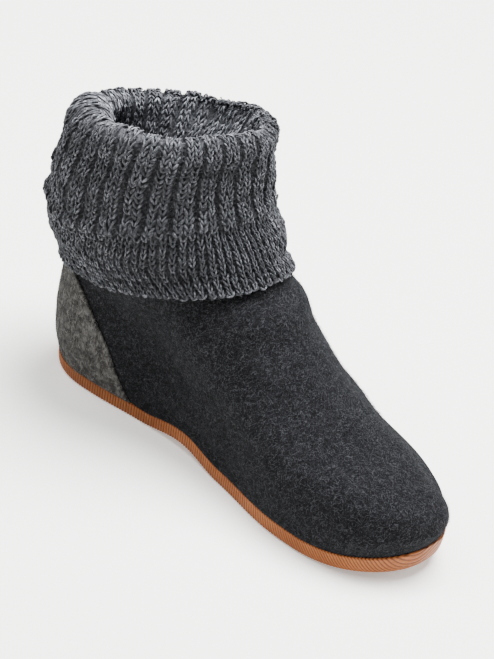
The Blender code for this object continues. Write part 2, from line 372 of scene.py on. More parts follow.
def nodeGroup(name, **sockets):
    tree = bpy.data.node_groups.new(name, "GeometryNodeTree")
    for label, kind in {"Geometry": "Geometry", **sockets}.items():
        tree.interface.new_socket(label, in_out="INPUT", socket_type="NodeSocket" + kind)
    tree.interface.new_socket("Geometry", in_out="OUTPUT", socket_type="NodeSocketGeometry")
    return tree.nodes.new("NodeGroupInput").outputs


def named(home, name, kind):
    return add(home, "GeometryNodeInputNamedAttribute", {"Name": name}, data_type=kind)


def randomVector(least, most, seed):
    return add(seed, "FunctionNodeRandomValue", {0: least, 1: most, "Seed": seed}, data_type="FLOAT_VECTOR")


def randomFloat(least, most, seed):
    return add(seed, "FunctionNodeRandomValue", {2: least, 3: most, "Seed": seed}, 1, data_type="FLOAT")


def turnedBy(rotation, angles):
    spin = add(angles, "FunctionNodeEulerToRotation", {0: angles})
    return add(spin, "FunctionNodeRotateRotation", {0: rotation, 1: spin}, rotation_space="LOCAL")


def instances(points, shape, rotation, scale):
    shape = add(points, "GeometryNodeObjectInfo", {"Object": shape, "As Instance": True}, "Geometry")
    links = {"Points": points, "Instance": shape, "Rotation": rotation, "Scale": scale}
    return add(points, "GeometryNodeInstanceOnPoints", links)


def ended(put, material):
    real = add(put, "GeometryNodeRealizeInstances", {0: put})
    coloured = add(put, "GeometryNodeSetMaterial", {"Geometry": real, "Material": material})
    tree = put.id_data
    tree.links.new(coloured, tree.nodes.new("NodeGroupOutput").inputs[0])
    return tree


def stitchTree():  # a stitch is turned by its point's own axes
    points, stitch, yarn, most, free, seed = nodeGroup(
        "knitStitches", Stitch="Object", Yarn="Material", Tilt="Float", Loose="Float", Seed="Int")[:6]
    out, up, size = (named(seed, name, "FLOAT_VECTOR") for name in ("out", "up", "size"))
    axes = add(out, "FunctionNodeAxesToRotation", {0: out, 1: up}, primary_axis="Z", secondary_axis="Y")
    tilt = randomVector(times(most, -1.0), most, seed)
    loose = randomVector(maths("SUBTRACT", 1.0, free), maths("ADD", 1.0, free), seed)
    scale = add(size, "ShaderNodeVectorMath", {0: size, 1: loose}, operation="MULTIPLY")
    return ended(instances(points, stitch, turnedBy(axes, tilt), scale), yarn)


def napTree():  # fibres are thick where the surface's nap is high
    mesh, fibre, wool, density, lift, shortest, longest, seed = nodeGroup(
        "looseFibres", Fibre="Object", Wool="Material", Density="Float", Lift="Float", Shortest="Float",
        Longest="Float", Seed="Int")[:8]
    links = {"Mesh": mesh, "Density": times(named(seed, "nap", "FLOAT"), density), "Seed": seed}
    points = add(mesh, "GeometryNodeDistributePointsOnFaces", links, "Points")
    least = add(mesh, "ShaderNodeCombineXYZ", {1: times(lift, -1.0)})
    most = add(mesh, "ShaderNodeCombineXYZ", {2: fullTurn})
    turned = turnedBy(points.node.outputs["Rotation"], randomVector(least, most, seed))
    length = randomFloat(shortest, longest, seed)
    size = add(mesh, "ShaderNodeCombineXYZ", {0: length, 1: 1.0, 2: length})
    put = instances(points, fibre, turned, size)
    links = {"Geometry": put, "Name": "tone", "Value": randomFloat(0.0, 1.0, seed)}
    toned = add(put, "GeometryNodeStoreNamedAttribute", links, data_type="FLOAT", domain="INSTANCE")
    return ended(toned, wool)


knitStitches, looseFibres = stitchTree(), napTree()


def grown(name, source, tree, values):  # runs a tree on a mesh and keeps the result as a plain piece
    modifier = source.modifiers.new(tree.name, "NODES")
    modifier.node_group = tree
    for item in tree.interface.items_tree:
        if item.item_type == "SOCKET" and item.in_out == "INPUT" and item.name in values:
            modifier[item.identifier] = values[item.name]
    source.update_tag()
    graph = bpy.context.evaluated_depsgraph_get()
    mesh = bpy.data.meshes.new_from_object(source.evaluated_get(graph), preserve_all_data_layers=True,
                                           depsgraph=graph)
    source.modifiers.clear()
    mesh.name = name
    mesh.shade_smooth()
    return linked(name, mesh)


def drop(made):
    mesh = made.data
    bpy.data.objects.remove(made)
    bpy.data.meshes.remove(mesh)


# the finished pieces

def finished(made, slot, *nodes):
    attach(made, "root")
    if nodes:
        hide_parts(*nodes)
    print(made.name, sum(len(face.vertices) - 2 for face in made.data.polygons), "triangles")


# camera at the photograph's angle to the shoe

view = dict(
    azimuth=-56.5,
    elevation=32.0,
    roll=11.6,
    distance=1.255,
    target=(0.0, -0.0104, 0.060),
    slide=(-0.0088, 0.0161),  # right and up in the picture, so that the one shoe is in the middle
    focusPixels=2330.0,
    tallPixels=659.0,
    sensor=36.0,
)


def makeCamera():
    a, e, r = (math.radians(view[key]) for key in ("azimuth", "elevation", "roll"))
    back = Vector((math.sin(a) * math.cos(e), -math.cos(a) * math.cos(e), math.sin(e)))
    right = Vector((0, 0, 1)).cross(back).normalized()
    up = back.cross(right)
    right, up = right * math.cos(r) + up * math.sin(r), up * math.cos(r) - right * math.sin(r)
    data = bpy.data.cameras.new("photoView")
    data.sensor_width = view["sensor"]
    data.lens = view["focusPixels"] / view["tallPixels"] * view["sensor"]
    camera = linked("photoView", data)
    spot = Vector(view["target"]) + back * view["distance"] + right * view["slide"][0] + up * view["slide"][1]
    camera.matrix_world = Matrix.Translation(spot) @ Matrix((right, up, back)).transposed().to_4x4()
    bpy.context.scene.camera = camera


makeCamera()
print("camera set")


# sole: caramel rubber with fine ribs across it that wrap its edge

rubber = dict(
    edgeRun=2.8,  # how far the edge draws in from its top to the underside
    heelRun=4.0,
    toeRun=3.6,
    heelRunEnd=50.0,  # along the sole
    toeRunStart=170.0,
    tipStations=(0.03, 0.14),  # more sections that round off the two ends
    fullness=0.7,  # 1 is a round edge, less a fuller wall
    edgeTurn=0.97,  # share of a quarter turn that the edge takes
    ribSweep=7.0,  # towards the tip, from the top of the wall to its foot
    sweepStart=(150.0, 215.0),
    sweepEnd=34.0,  # before the tip
    turnStart=(72.0, 60.0),  # before the tip, where grooves that turn take over from straight ones
    ribTurn=0.50,  # their slope at the tip
    tipRound=6.0,  # run of the bend from one side to the other
    ribSpread=0.25,  # and how much further apart they lie
    tipFade=(0.8, 3.8),  # before the tip, where the last of them are drawn and not cut
    ribPitch=1.85,
    grooveDepth=0.45,
    grooveWidth=0.7,  # share of the pitch
    stationsPerRib=6,
    sidePoints=20,
    underPoints=3,
    caramel=(0.250, 0.074, 0.018, 1.0),
    # dark specks, and painted shade in the grooves
    deep=(0.075, 0.021, 0.005, 1.0),
    worn=(0.310, 0.100, 0.028, 1.0),
)


def rubberMaterial():
    material, shader, spot = newMaterial("caramelRubber", {
        "Specular IOR Level": 0.15, "Coat Weight": 0.03, "Coat Roughness": 0.5})
    offMiddle = maths("ABSOLUTE", maths("SUBTRACT", maths("FRACT", attribute(shader, "ribPlace")), 0.5))
    groove = span(offMiddle, 0.0, rubber["grooveWidth"] / 2, 1.0, 0.0)
    cloud, speck = noise(spot, scale=55.0, detail=3.0), noise(spot, scale=900.0)
    base = blend(span(cloud, 0.35, 0.7), rubber["caramel"], rubber["worn"])
    base = blend(span(speck, 0.35, 0.8, 0.0, 0.22), base, rubber["deep"])
    # painted shade: the grooves are darkened towards the deep colour
    base = blend(span(groove, 0.15, 0.95, 0.0, 0.85), base, rubber["deep"])
    height = maths("SUBTRACT", times(speck, 0.1), times(groove, attribute(shader, "drawn")))
    rough = span(speck, 0.2, 0.8, 0.45, 0.62)
    dress(shader, base, bump(height, strength=0.7, distance=0.0005), rough)
    return material


def edgeInset(along):
    heel = (rubber["heelRun"] - rubber["edgeRun"]) * (1 - ease(along, 0, rubber["heelRunEnd"]))
    toe = (rubber["toeRun"] - rubber["edgeRun"]) * ease(along, rubber["toeRunStart"], last["length"])
    return rubber["edgeRun"] + heel + toe


def grooveCut(phase):
    return ease(1 - np.abs(phase - 0.5) * 2 / rubber["grooveWidth"])


def makeSole():
    length, steps, sides = last["length"], rubber["stationsPerRib"], rubber["sidePoints"]
    ribs = round((length - 2 * last["endCut"]) / rubber["ribPitch"])
    pitch = (length - 2 * last["endCut"]) / ribs
    tips = np.array(rubber["tipStations"])
    stations = np.linspace(last["endCut"], length - last["endCut"], ribs * steps + 1)
    along = np.concatenate([tips, stations, length - tips[::-1]])[:, None]
    straightCut = grooveCut(np.arange(len(stations)) % steps / steps)
    straightCut = np.concatenate([0 * tips, straightCut, 0 * tips])[:, None]
    run, full = edgeInset(along), rubber["fullness"]
    room = np.clip(1 - np.minimum(along, length - along) / run, 0, 1)
    angle = rubber["edgeTurn"] * np.arccos(room ** (1 / full)) * np.linspace(0, 1, sides)[None]
    fall = np.sin(angle) ** full
    lean = rubber["ribSweep"] * ease(along, *rubber["sweepStart"]) * fall
    first, whole = rubber["turnStart"]
    turned = np.broadcast_to(ease(first - (length - along), 0, first - whole), lean.shape)
    along = along + lean * ease(length - along, 0, rubber["sweepEnd"])
    ribPlace = (along - lean - last["endCut"]) / pitch
    inset = run * (1 - np.cos(angle) ** full)
    at = (along - inset) / (length - 2 * inset)  # the outline shrinks evenly towards the underside
    height = soleTop(along) - soleThickness(along) * fall
    halves = []
    for sign, side in ((1, "medial"), (-1, "lateral")):
        width = halfWidth(at, side) * (1 - inset / last["outline"][side].max())
        halves.append(place(tipShift(along / length) + sign * width, along, height))
    step = np.linspace(0, 1, rubber["underPoints"] + 2)[1:-1][None, :, None]
    under = between(halves[0][:, -1:], halves[1][:, -1:], step)
    points = np.concatenate([halves[0], under, halves[1][:, ::-1]], axis=1)
    rows, columns = points.shape[:2]
    around = np.roll(points, -1, axis=1) - np.roll(points, 1, axis=1)
    inward = unit(np.cross(around, np.gradient(points, axis=0)))
    if (inward * (points - points.mean(axis=1, keepdims=True))).sum() > 0:
        inward = -inward
    ribPlace, turned = (np.concatenate([half, np.repeat(half[:, -1:], rubber["underPoints"], axis=1),
                                        half[:, ::-1]], axis=1) for half in (ribPlace, turned))
    share = part(alongOf(points), length - whole, length)
    bend = rubber["ribTurn"] * share**3 * np.hypot(points[..., 0], rubber["tipRound"])
    ribPlace = ribPlace + (bend - rubber["ribSpread"] * share**2 / 2 * whole) / pitch
    wall = ease(length - alongOf(points), *rubber["tipFade"])
    wall[:, sides:-sides] = 0
    cut = straightCut * (1 - turned) + grooveCut(ribPlace % 1) * turned * wall
    points = points + inward * (rubber["grooveDepth"] * cut)[..., None]
    faces = gridFaces(rows, columns)
    faces += [list(range(columns))[::-1], list(range((rows - 1) * columns, rows * columns))]
    values = {"ribPlace": ribPlace, "drawn": turned * (1 - wall)}
    return meshObject("ribbedSole", points, faces, rubberMaterial(), values)


finished(makeSole(), "sole_rubber", "outsole")


# felt: one recipe for the dark upper, the pale heel piece and the insole

# how fibres lie: their length and width in metres, and the turn of their bundle
crossedFibres = (
    (0.0034, 0.0006, (0.3, 0.2, 0.7)),
    (0.0034, 0.0006, (0.6, 0.9, 2)),
    (0.003, 0.00056, (1.1, 0.3, 2.9)),
    (0.0027, 0.0005, (0.2, 1.3, 0.4)),
)
uprightFibres = (
    (0.007, 0.0008, (0.05, 1.5, 0)),
    (0.005, 0.00065, (0.2, 1.65, 0.3)),
)
uprightStreak = ((0.016, 0.0016, 0.0016), (0.0, 1.57, 0.0))
fibreBend = (0.005, 0.005, 0.005)


def feltMaterial(name, look, fibres=crossedFibres):
    deep, body, pale = look["tones"]
    material, shader, spot = newMaterial(name, {
        "Roughness": 0.95, "Specular IOR Level": 0.03, "Sheen Weight": 0.02, "Sheen Roughness": 0.6,
        "Sheen Tint": (0.8, 0.85, 0.95, 1.0)})
    warp = noise(spot, scale=160.0, out="Color")
    bent = add(spot, "ShaderNodeVectorMath", {0: warp, 1: fibreBend}, operation="MULTIPLY")
    bent = add(spot, "ShaderNodeVectorMath", {0: bent, 1: spot}, operation="ADD")
    bundles = [noise(stretched(bent, (length, width, width), turn), scale=1.0, detail=1.5)
               for length, width, turn in fibres]
    strands = bundles[0]
    for bundle in bundles[1:]:
        strands = maths("MAXIMUM", strands, bundle)
    cloud = noise(spot, look["mottle"], detail=3.0, roughness=0.6)
    pits = noise(spot, scale=620.0)
    base = blend(span(cloud, 0.33, 0.68), deep, body)
    if "streak" in look:
        run = noise(stretched(spot, *uprightStreak), scale=1.0, detail=3.0, roughness=0.6)
        base = blend(span(run, 0.50, 0.66, 0.0, look["streak"]), base, deep)
    clump = span(noise(spot, scale=300.0), 0.34, 0.64, 0.4, 1.0)
    base = blend(times(span(strands, 0.55, 0.72, 0.0, look["fleck"]), clump), base, pale)
    base = blend(span(pits, 0.34, 0.52, 0.7, 0.0), base, deep)
    height = maths("ADD", strands, times(pits, 0.8))
    dress(shader, base, bump(height, strength=0.8, distance=0.0011))
    return material


def woolMaterial(name, dark, light):  # loose fibres, each of its own grey
    material, shader = newMaterial(name, {"Roughness": 0.85, "Specular IOR Level": 0.1})[:2]
    dress(shader, blend(maths("POWER", attribute(shader, "tone"), 2.2), dark, light))
    return material


def makeNap(name, source, look):
    length, width, arch = look["fibre"]
    share = np.array([0.0, 0.5, 1.0])
    hump, rise = np.sin(math.pi * share), 1 - (2 * share - 1) ** 2
    path = np.stack([(share - 0.5) * length, 0.06 * length * hump, arch * rise], axis=-1)
    shape = tubeObject(name + "Fibre", [path], width / 2 * np.array([0.7, 1.0, 0.3]), sides=3)
    wool = woolMaterial(name + "Wool", *look["fibreTones"])
    made = grown(name, source, looseFibres, {"Fibre": shape, "Wool": wool, **look["fibres"]})
    drop(shape)
    return made


coolTint = (0.94, 0.97, 1.08)
warmTint = (1.03, 1.0, 0.95)

felt = dict(
    rows=96,
    rowsInside=26,
    round=264,
    lumps=((34.0, 0.35, 11), (13.0, 0.12, 12)),  # size, height, seed
    foldFade=0.08,  # levels over which folds fade at the sole and at the collar
    skirt=1.3,  # the lowest felt reaches out to the edge of the sole
    skirtTop=0.07,
    heelPieceFade=(62.0, 86.0),  # the felt under the heel piece stays smooth
    napStart=(40.0, 70.0),  # and has no nap
    napBottom=0.04,
    tones=(grey(0.003, coolTint), grey(0.0065, coolTint), grey(0.042, coolTint)),
    fleck=0.9,
    mottle=95.0,
    fibre=(3.8, 0.10, 0.7),  # length, width, arch
    fibreTones=(grey(0.008, coolTint), grey(0.070, coolTint)),
    fibres={"Density": 330000.0, "Lift": 0.9, "Shortest": 0.35, "Longest": 1.3, "Seed": 5},
)

# soft troughs and ridges: width and height in mm, then points by along, level and side (1 medial, -1 lateral)
feltFolds = [
    (17, -2.2, (84, 0.8, 1), (78, 0.55, 1), (84, 0.3, 1)),  # ankle hollows
    (17, -1.8, (84, 0.8, -1), (78, 0.55, -1), (84, 0.3, -1)),
    (7, -0.8, (104, 0.86, 1), (130, 0.72, 1), (150, 0.66, 1)),  # under the hem
    (14, 0.3, (112, 0.62, 1), (140, 0.44, 1), (168, 0.33, 1)),  # vamp flank
    (9, -0.9, (180, 0.46, 1), (188, 0.54, 0.4)),  # toe bend
    (9, -0.9, (184, 0.42, -1), (190, 0.52, -0.5)),
    (9, 3.2, (112, 0.85, 0.6), (112, 0.86, 0.1), (112, 0.86, -0.1), (112, 0.85, -0.7)),  # instep roll
    (16, -5, (202, 0.285, -1), (214, 0.26, -1), (230, 0.24, -1), (244, 0.205, -1)),  # empty toe box
    (7, 0.6, (206, 0.3, 1), (214, 0.4, 0.5)),
    (8, -0.7, (232, 0.17, 1), (250, 0.16, 0.7)),  # low toe edge
    (12, -0.4, (118, 0.24, 1), (150, 0.2, 1)),  # arch flank
    (11, 0.8, (110, 0.58, -1), (150, 0.4, -1)),
    (9, -0.6, (214, 0.28, -1), (236, 0.22, -0.8)),
]


def foldHeight(points):
    total = np.zeros(points.shape[:-1])
    for width, height, *spots in feltFolds:
        fine = np.linspace(0, len(spots) - 1, 4 * len(spots))
        along, level, side = (np.interp(fine, np.arange(len(spots)), values) for values in zip(*spots))
        middle = np.sign(side) * math.pi  # a side under 1 comes nearer the top line
        turn = between(middle, turnAt(along, level, np.sign(side)), np.abs(side))
        total += height * np.exp(-(nearLine(points, upperPoint(level, turn)) / width) ** 2)
    return total


def makeUpper():
    level, turn = np.meshgrid(np.linspace(0, 1, felt["rows"]), turns(felt["round"]), indexing="ij")
    plain, normal = upperPoint(level, turn), upperNormal(level, turn)
    along, fade = alongOf(plain), felt["foldFade"]
    relief = foldHeight(plain) + softLumps(plain, felt["lumps"])
    relief *= ease(level, 0, fade) * ease(1.0 - level, 0, fade)
    relief += felt["skirt"] * (1 - ease(level, 0, felt["skirtTop"]))
    relief *= ease(along, *felt["heelPieceFade"])
    outer = plain + normal * relief[..., None]
    levelIn, turnIn = np.meshgrid(np.linspace(1, 0, felt["rowsInside"]), turns(felt["round"]), indexing="ij")
    inner = upperOffset(levelIn, turnIn, -last["wall"])
    inner[-1, :, 2] = feather(alongOf(inner[-1]))
    points = np.concatenate([outer, inner])
    nap = ease(along, *felt["napStart"]) * ease(level, 0, felt["napBottom"])
    nap = np.concatenate([nap, np.zeros(levelIn.shape)])
    faces = gridFaces(len(points), felt["round"], closeRows=True)
    return meshObject("feltUpper", points, faces, feltMaterial("darkFelt", felt), {"nap": nap})


feltUpper = makeUpper()
feltNap = makeNap("feltNap", feltUpper, felt)
finished(feltUpper, "dark_felt", "upper")
finished(feltNap, "dark_felt")


# heel piece: pale felt with a soft cut edge

heel = dict(
    offset=0.55,
    thickness=1.1,
    edge=1.4,  # run of the rounded edge
    top=9 / 13,
    reach=(70.0, 6.0),  # front edges at the sole and at the top
    rows=70,
    columns=110,
    lumps=[(9.0, 0.08, 3)],
    tones=(grey(0.021, warmTint), grey(0.088, warmTint), grey(0.19, warmTint)),
    fleck=0.5,
    mottle=260.0,
    streak=0.9,
    fibre=(3.6, 0.12, 0.4),
    fibreTones=(grey(0.05, warmTint), grey(0.27, warmTint)),
    fibres={"Density": 260000.0, "Lift": 0.25, "Shortest": 0.4, "Longest": 1.2, "Seed": 8},
)


def makeHeelPiece():
    levels = np.linspace(0.0, heel["top"], heel["rows"])
    edge = turnAt(between(*heel["reach"], levels / heel["top"]), levels, 1)
    sweep = np.sin(np.linspace(-math.pi / 2, math.pi / 2, heel["columns"]))  # close columns at the edges
    level, turn = np.broadcast_arrays(levels[:, None], edge[:, None] * sweep[None])
    plain = upperPoint(level, turn)
    toEdge = np.minimum(*(np.linalg.norm(plain - plain[:, [end]], axis=-1) for end in (0, -1)))
    full = heel["offset"] + heel["thickness"] * roundEnd(toEdge, heel["edge"], power=2)
    full = full + softLumps(plain, heel["lumps"])
    far, near = upperOffset(level, turn, full), upperOffset(level, turn, heel["offset"])
    for face in (near, far):
        face[0, :, 2] = feather(alongOf(face[0]))
    loop = np.concatenate([far, near[:, ::-1]], axis=1)
    nap = np.concatenate([np.ones(far.shape[:2]), np.zeros(near.shape[:2])], axis=1)
    material = feltMaterial("paleFelt", heel, uprightFibres)
    return meshObject("heelPiece", loop, slabFaces(*loop.shape[:2]), material, {"nap": nap})


heelPiece = makeHeelPiece()
heelNap = makeNap("heelNap", heelPiece, heel)
finished(heelPiece, "pale_felt", "heel_piece")
finished(heelNap, "pale_felt")


# insole: a felt bed with a soft rim

bed = dict(
    thickness=4.0,
    least=0.02,
    gap=-0.5,
    rim=2.6,
    stations=120,
    across=41,
    cup=1.2,  # the bed rises this much towards its edge
    cupRun=14.0,
    cupSink=0.3,  # share of the rise by which all of it lies lower
    lumps=[(20.0, 0.15, 4)],
    lumpRun=6.0,
    tones=(grey(0.04), grey(0.09), grey(0.17)),
    fleck=0.4,
    mottle=110.0,
)


def makeInsole():
    turn = np.linspace(0, math.pi, bed["stations"] + 2)[1:-1]
    medial, lateral = (upperOffset(0.0, sign * turn, -last["wall"] - bed["gap"]) for sign in (1, -1))
    lateral[:, 1] = medial[:, 1]
    base = feather(alongOf(medial))[:, None]
    share = lengthShare(np.linspace(0, math.pi, bed["across"]))
    flat = between(medial[:, None], lateral[:, None], share[None, :, None])
    toEdge = np.minimum(share, 1 - share)[None] * np.linalg.norm(medial - lateral, axis=-1)[:, None]
    lift = bed["thickness"] * roundEnd(toEdge, bed["rim"], power=2)
    lift = lift + softLumps(flat, bed["lumps"]) * ease(toEdge, 0, bed["lumpRun"])
    cup = (1 - ease(toEdge, 0, bed["cupRun"])) * ease(toEdge, 0, bed["rim"]) - bed["cupSink"]
    top, under = flat.copy(), flat.copy()
    top[..., 2] = base + np.maximum(lift + bed["cup"] * cup, bed["least"])
    under[..., 2] = base
    loop = np.concatenate([under, top[:, ::-1]], axis=1)
    return meshObject("feltInsole", loop, slabFaces(*loop.shape[:2]), feltMaterial("insoleFelt", bed))


finished(makeInsole(), "insole_felt", "insole")


# cuff: marled rib knit, from the hem up the outside, over the fold and down the inside

knit = dict(
    layer=3.2,
    clearance=(2.0, 0.6),  # of the hanging layer, at the back and at the front
    collarGap=0.5,
    innerLevel=0.90,
    hemFan=0.18,
    hem=table("at level", (0.0, 0.57), (0.5, 0.83), (1.0, 0.94)),
    slotShares=(0.66, 0.33, 0.0),
    ribs=30,
    rings=table(
        "back backHeight front frontHeight halfWidth fan",
        (-15, 80, 126.5, 117, 50.5, 0.12),
        (-20.5, 94, 118, 127, 54.5, 0.06),
        (-22, 110, 109.5, 139, 56.5, 0.02),
        (-20, 126, 103.5, 152, 55, 0),
        (-17, 140, 101.5, 165, 52.5, 0),
        (-15.5, 151, 102.5, 175.5, 52, 0),
        (-8, 157.5, 95, 182.5, 45, 0),
        (-0.5, 152.5, 87.5, 177.5, 38.5, 0),
        (-3, 138, 89.5, 163.5, 40.5, 0),
        (-4, 120, 98, 142, 41.5, 0.06),
    ),
    crestRow=7,  # the hem is row 0, and the rings follow it
    faceGrid=(321, 720),  # rows and turns at which the face is worked out
    fineRows=401,
    lumps=((46.0, 1.1, 21), (19.0, 0.45, 22)),
    keepEnds=(0.16, 0.3),  # the hem and the end inside keep their places
    drift=0.16,  # how far the ribs wander, in ribs
    driftWaves=((2.1, 0.7), (1.3, 0.45)),  # by share and by rib
    driftRise=0.2,
    lean=0.16,  # how far they swing to the heel by the hem, in radians
    leanTop=0.55,
    courses=(30, 24, 27),  # outside, inside and of the purls
    sink=0.90,  # the ground lies this far under the face of the stitches
    ribValley=(1.0, 2.4, 0.015, 0.13),  # width of a rib, depth of its valley, and where that rises and ends
    fineValley=(1 / 3, 1.7, 0.01, 0.09),
    bandSink=1.1,  # the fine band by the hem lies this much further in
    bandRidge=1.5,  # and a soft ridge runs along its upper edge
    ridgeShift=0.6,
    fineTop=0.40,  # below this share of the way up, the ribs are fine
    fineBlend=0.05,
    wideWales=(0.31, 0.69),  # places of the wales on a rib, above and in the fine band
    fineWales=(1 / 6, 3 / 6, 5 / 6),
    widePurls=(-0.035, 0.035),
    finePurls=(0.0, 1 / 3, 2 / 3),
    waleWidth=(0.38, 0.23),  # in ribs, above and in the fine band
    purlWidth=0.20,
    hemWidth=0.32,
    yarn=1.12,
    stitchWide=3.6,
    stitchTall=3.1,
    legSink=0.55,  # under the face
    hemSink=0.6,
    purlLift=0.05,  # over the ground
    hemShare=0.012,
    tilt=0.17,  # in radians
    hemTilt=0.16,
    loose=0.16,
    jitter=0.24,
    seed=17,
    groundColumns=10,  # for each rib
    groundRows=96,
    napEnd=(1.1, 1.5),
    twist=0.6,  # turns of the yarn along a leg
    yarnTones=(grey(0.028, coolTint), grey(0.060, coolTint), grey(0.175, coolTint)),
    valleyShadeShare=0.62,  # of these tones, painted shade for the yarn between the ribs
    groundTones=(grey(0.012, coolTint), grey(0.042, coolTint)),
    # the ground and yarn on the wall inside are paler: painted light
    insideLightTones=(grey(0.055, coolTint), grey(0.150, coolTint)),
    insideLightStart=(0.92, 1.10),  # where painted light makes the wall inside paler, and by how much
    insideLightGain=2.3,
    fibre=(5.0, 0.09, 1.1),
    fibreTones=(grey(0.02, coolTint), grey(0.17, coolTint)),
    fibres={"Density": 112000.0, "Lift": 0.7, "Shortest": 0.5, "Longest": 1.3, "Seed": 9},
)

# soft dents and swells of the tube: turn in degrees from the heel towards the medial side, share up the
# outside (over 1 is inside), their spreads, and the height in mm
knitDents = [
    (30, 1.11, 38, 0.17, 9),  # thick roll at the back
    (92, 1.07, 48, 0.1, 4),
    (262, 1.08, 70, 0.16, -7),  # the far wall opens like a funnel
    (262, 1.52, 74, 0.24, 13),
    (62, 0.92, 20, 0.16, -2.6),
    (98, 0.98, 16, 0.1, 1.6),
    (140, 0.96, 24, 0.12, -1.4),
    (33, 0.52, 40, 0.13, -2.6),
    (33, 0.25, 36, 0.1, 1.2),
    (95, 0.44, 50, 0.035, 1.1),
    (160, 0.4, 26, 0.06, -1.2),
    (210, 0.45, 30, 0.12, -3.4),
    (212, 0.24, 26, 0.07, 1.8),
    (210, 0.09, 24, 0.05, -4),
    (250, 0.85, 24, 0.18, 1.5),
    (300, 0.42, 40, 0.05, 1),
    (330, 0.9, 22, 0.15, -1.6),
]
innerFace = -(last["wall"] + knit["collarGap"])


def hemLine(turn):  # turn, level and clearance of the hanging layer
    lowTurn = turn - knit["hemFan"] * np.sin(turn)
    at = lengthShare(lowTurn)
    return lowTurn, alongTable(knit["hem"], "level", at), between(*knit["clearance"], at)


def knitRows(turn):  # rows of points from the hem to the end inside, with no ribs
    lowTurn, hem, clearance = hemLine(turn)
    rows = [upperOffset(hem, lowTurn, clearance + knit["layer"])]
    for back, backHeight, front, frontHeight, wide, fan in zip(*knit["rings"].values()):
        fanned = turn - fan * np.sin(turn)
        share = lengthShare(fanned)
        height = between(backHeight, frontHeight, share)
        rows.append(place(wide * np.sin(fanned), between(back, front, share), height))
    rows.append(upperOffset(knit["innerLevel"], lowTurn, innerFace - knit["layer"]))
    return np.stack(rows)


def slotRows(turn):  # the unseen slot that the collar stands in
    lowTurn, hem, clearance = hemLine(turn)
    top = np.array([0.0, 0.0, knit["collarGap"]])
    rows = [upperOffset(knit["innerLevel"], lowTurn, innerFace)]
    rows += [upperOffset(1.0, lowTurn, side) + top for side in (innerFace, clearance)]
    rows += [upperOffset(between(hem, 1.0, share), lowTurn, clearance) for share in knit["slotShares"]]
    return np.stack(rows)


def fineness(share):  # 1 in the fine ribs by the hem, 0 above them
    return 1 - ease(share, knit["fineTop"] - knit["fineBlend"], knit["fineTop"] + knit["fineBlend"])


def insideLightShare(share):  # 0 outside, 1 on the wall inside, where painted light makes the knit paler
    return ease(share, *knit["insideLightStart"])


def faceGrid():  # points, normals and relief by share up (0 to 1 outside, to 2 inside) and turn
    rowCount, turnCount = knit["faceGrid"]
    turn, shares = turns(turnCount), np.linspace(0, 2, rowCount)
    rows = knitRows(turn)
    r = np.linspace(0, len(rows) - 1, knit["fineRows"])
    i = np.minimum(r.astype(int), len(rows) - 2)
    slope = np.gradient(rows, axis=0)
    fine = curve((r - i)[:, None, None], rows[i], rows[i + 1], slope[i], slope[i + 1])
    walked = np.linalg.norm(np.diff(fine, axis=0), axis=-1)
    walked = np.concatenate([np.zeros((1, turnCount)), np.cumsum(walked, axis=0)])
    paintedShading = np.argmin(np.abs(r - knit["crestRow"]))
    points = np.empty((rowCount, turnCount, 3))
    for c in range(turnCount):
        low, high = walked[paintedShading, c], walked[-1, c] - walked[paintedShading, c]
        goal = np.where(shares < 1, shares * low, low + (shares - 1) * high)
        for axis in range(3):
            points[:, c, axis] = np.interp(goal, walked[:, c], fine[:, c, axis])
    across = np.roll(points, -1, axis=1) - np.roll(points, 1, axis=1)
    normals = unit(np.cross(across, np.gradient(points, axis=0)))
    relief = softLumps(points, knit["lumps"])
    for dentTurn, dentShare, wide, tall, height in knitDents:
        off = (np.degrees(turn)[None] - dentTurn + 180) % 360 - 180
        relief += height * np.exp(-(off / wide) ** 2 - ((shares[:, None] - dentShare) / tall) ** 2)
    overBand = (shares - knit["fineTop"]) / knit["fineBlend"] - knit["ridgeShift"]
    band = knit["bandRidge"] * np.exp(-overBand**2) - knit["bandSink"] * fineness(shares)
    low, high = knit["keepEnds"]
    kept = ease(shares, 0, low) * ease(2 - shares, 0, high)
    relief = (relief + band[:, None]) * kept[:, None]
    return np.concatenate([points, normals, relief[..., None]], axis=-1)


knitGrid = faceGrid()


def readGrid(share, turn):
    rowCount, turnCount = knitGrid.shape[:2]
    row = np.clip(share / 2, 0, 1) * (rowCount - 1)
    column = (turn / fullTurn % 1.0) * turnCount
    r, c = np.minimum(row.astype(int), rowCount - 2), column.astype(int) % turnCount
    c2 = (c + 1) % turnCount
    fr, fc = (row - r)[..., None], (column - np.floor(column))[..., None]
    low = knitGrid[r, c] * (1 - fc) + knitGrid[r, c2] * fc
    high = knitGrid[r + 1, c] * (1 - fc) + knitGrid[r + 1, c2] * fc
    return low * (1 - fr) + high * fr


def valley(rib, width, depth, *rise):  # deepest where one rib meets the next
    off = rib % width
    return depth * (1 - ease(np.minimum(off, width - off), *rise))


def ribCut(share, rib):
    low = fineness(share)
    return valley(rib, *knit["ribValley"]) * (1 - low) + valley(rib, *knit["fineValley"]) * low


def knitFace(share, rib, lift=0.0, ribbed=True):  # rib counts round the cuff, and its part is the place on it
    share, rib = np.broadcast_arrays(np.asarray(share, float), np.asarray(rib, float))
    wander = knit["drift"] * ease(share, 0, knit["driftRise"])
    for byShare, byRib in knit["driftWaves"]:
        wander = wander * np.sin(byShare * share + byRib * rib)
    turn = (rib + wander) * fullTurn / knit["ribs"]
    turn = turn - knit["lean"] * np.sin(turn) * (1 - ease(share, 0, knit["leanTop"]))
    found = readGrid(share, turn)
    height = found[..., 6:] - knit["sink"] + lift
    if ribbed:
        height = height - ribCut(share, rib)[..., None]
    return found[..., :3] + found[..., 3:6] * height


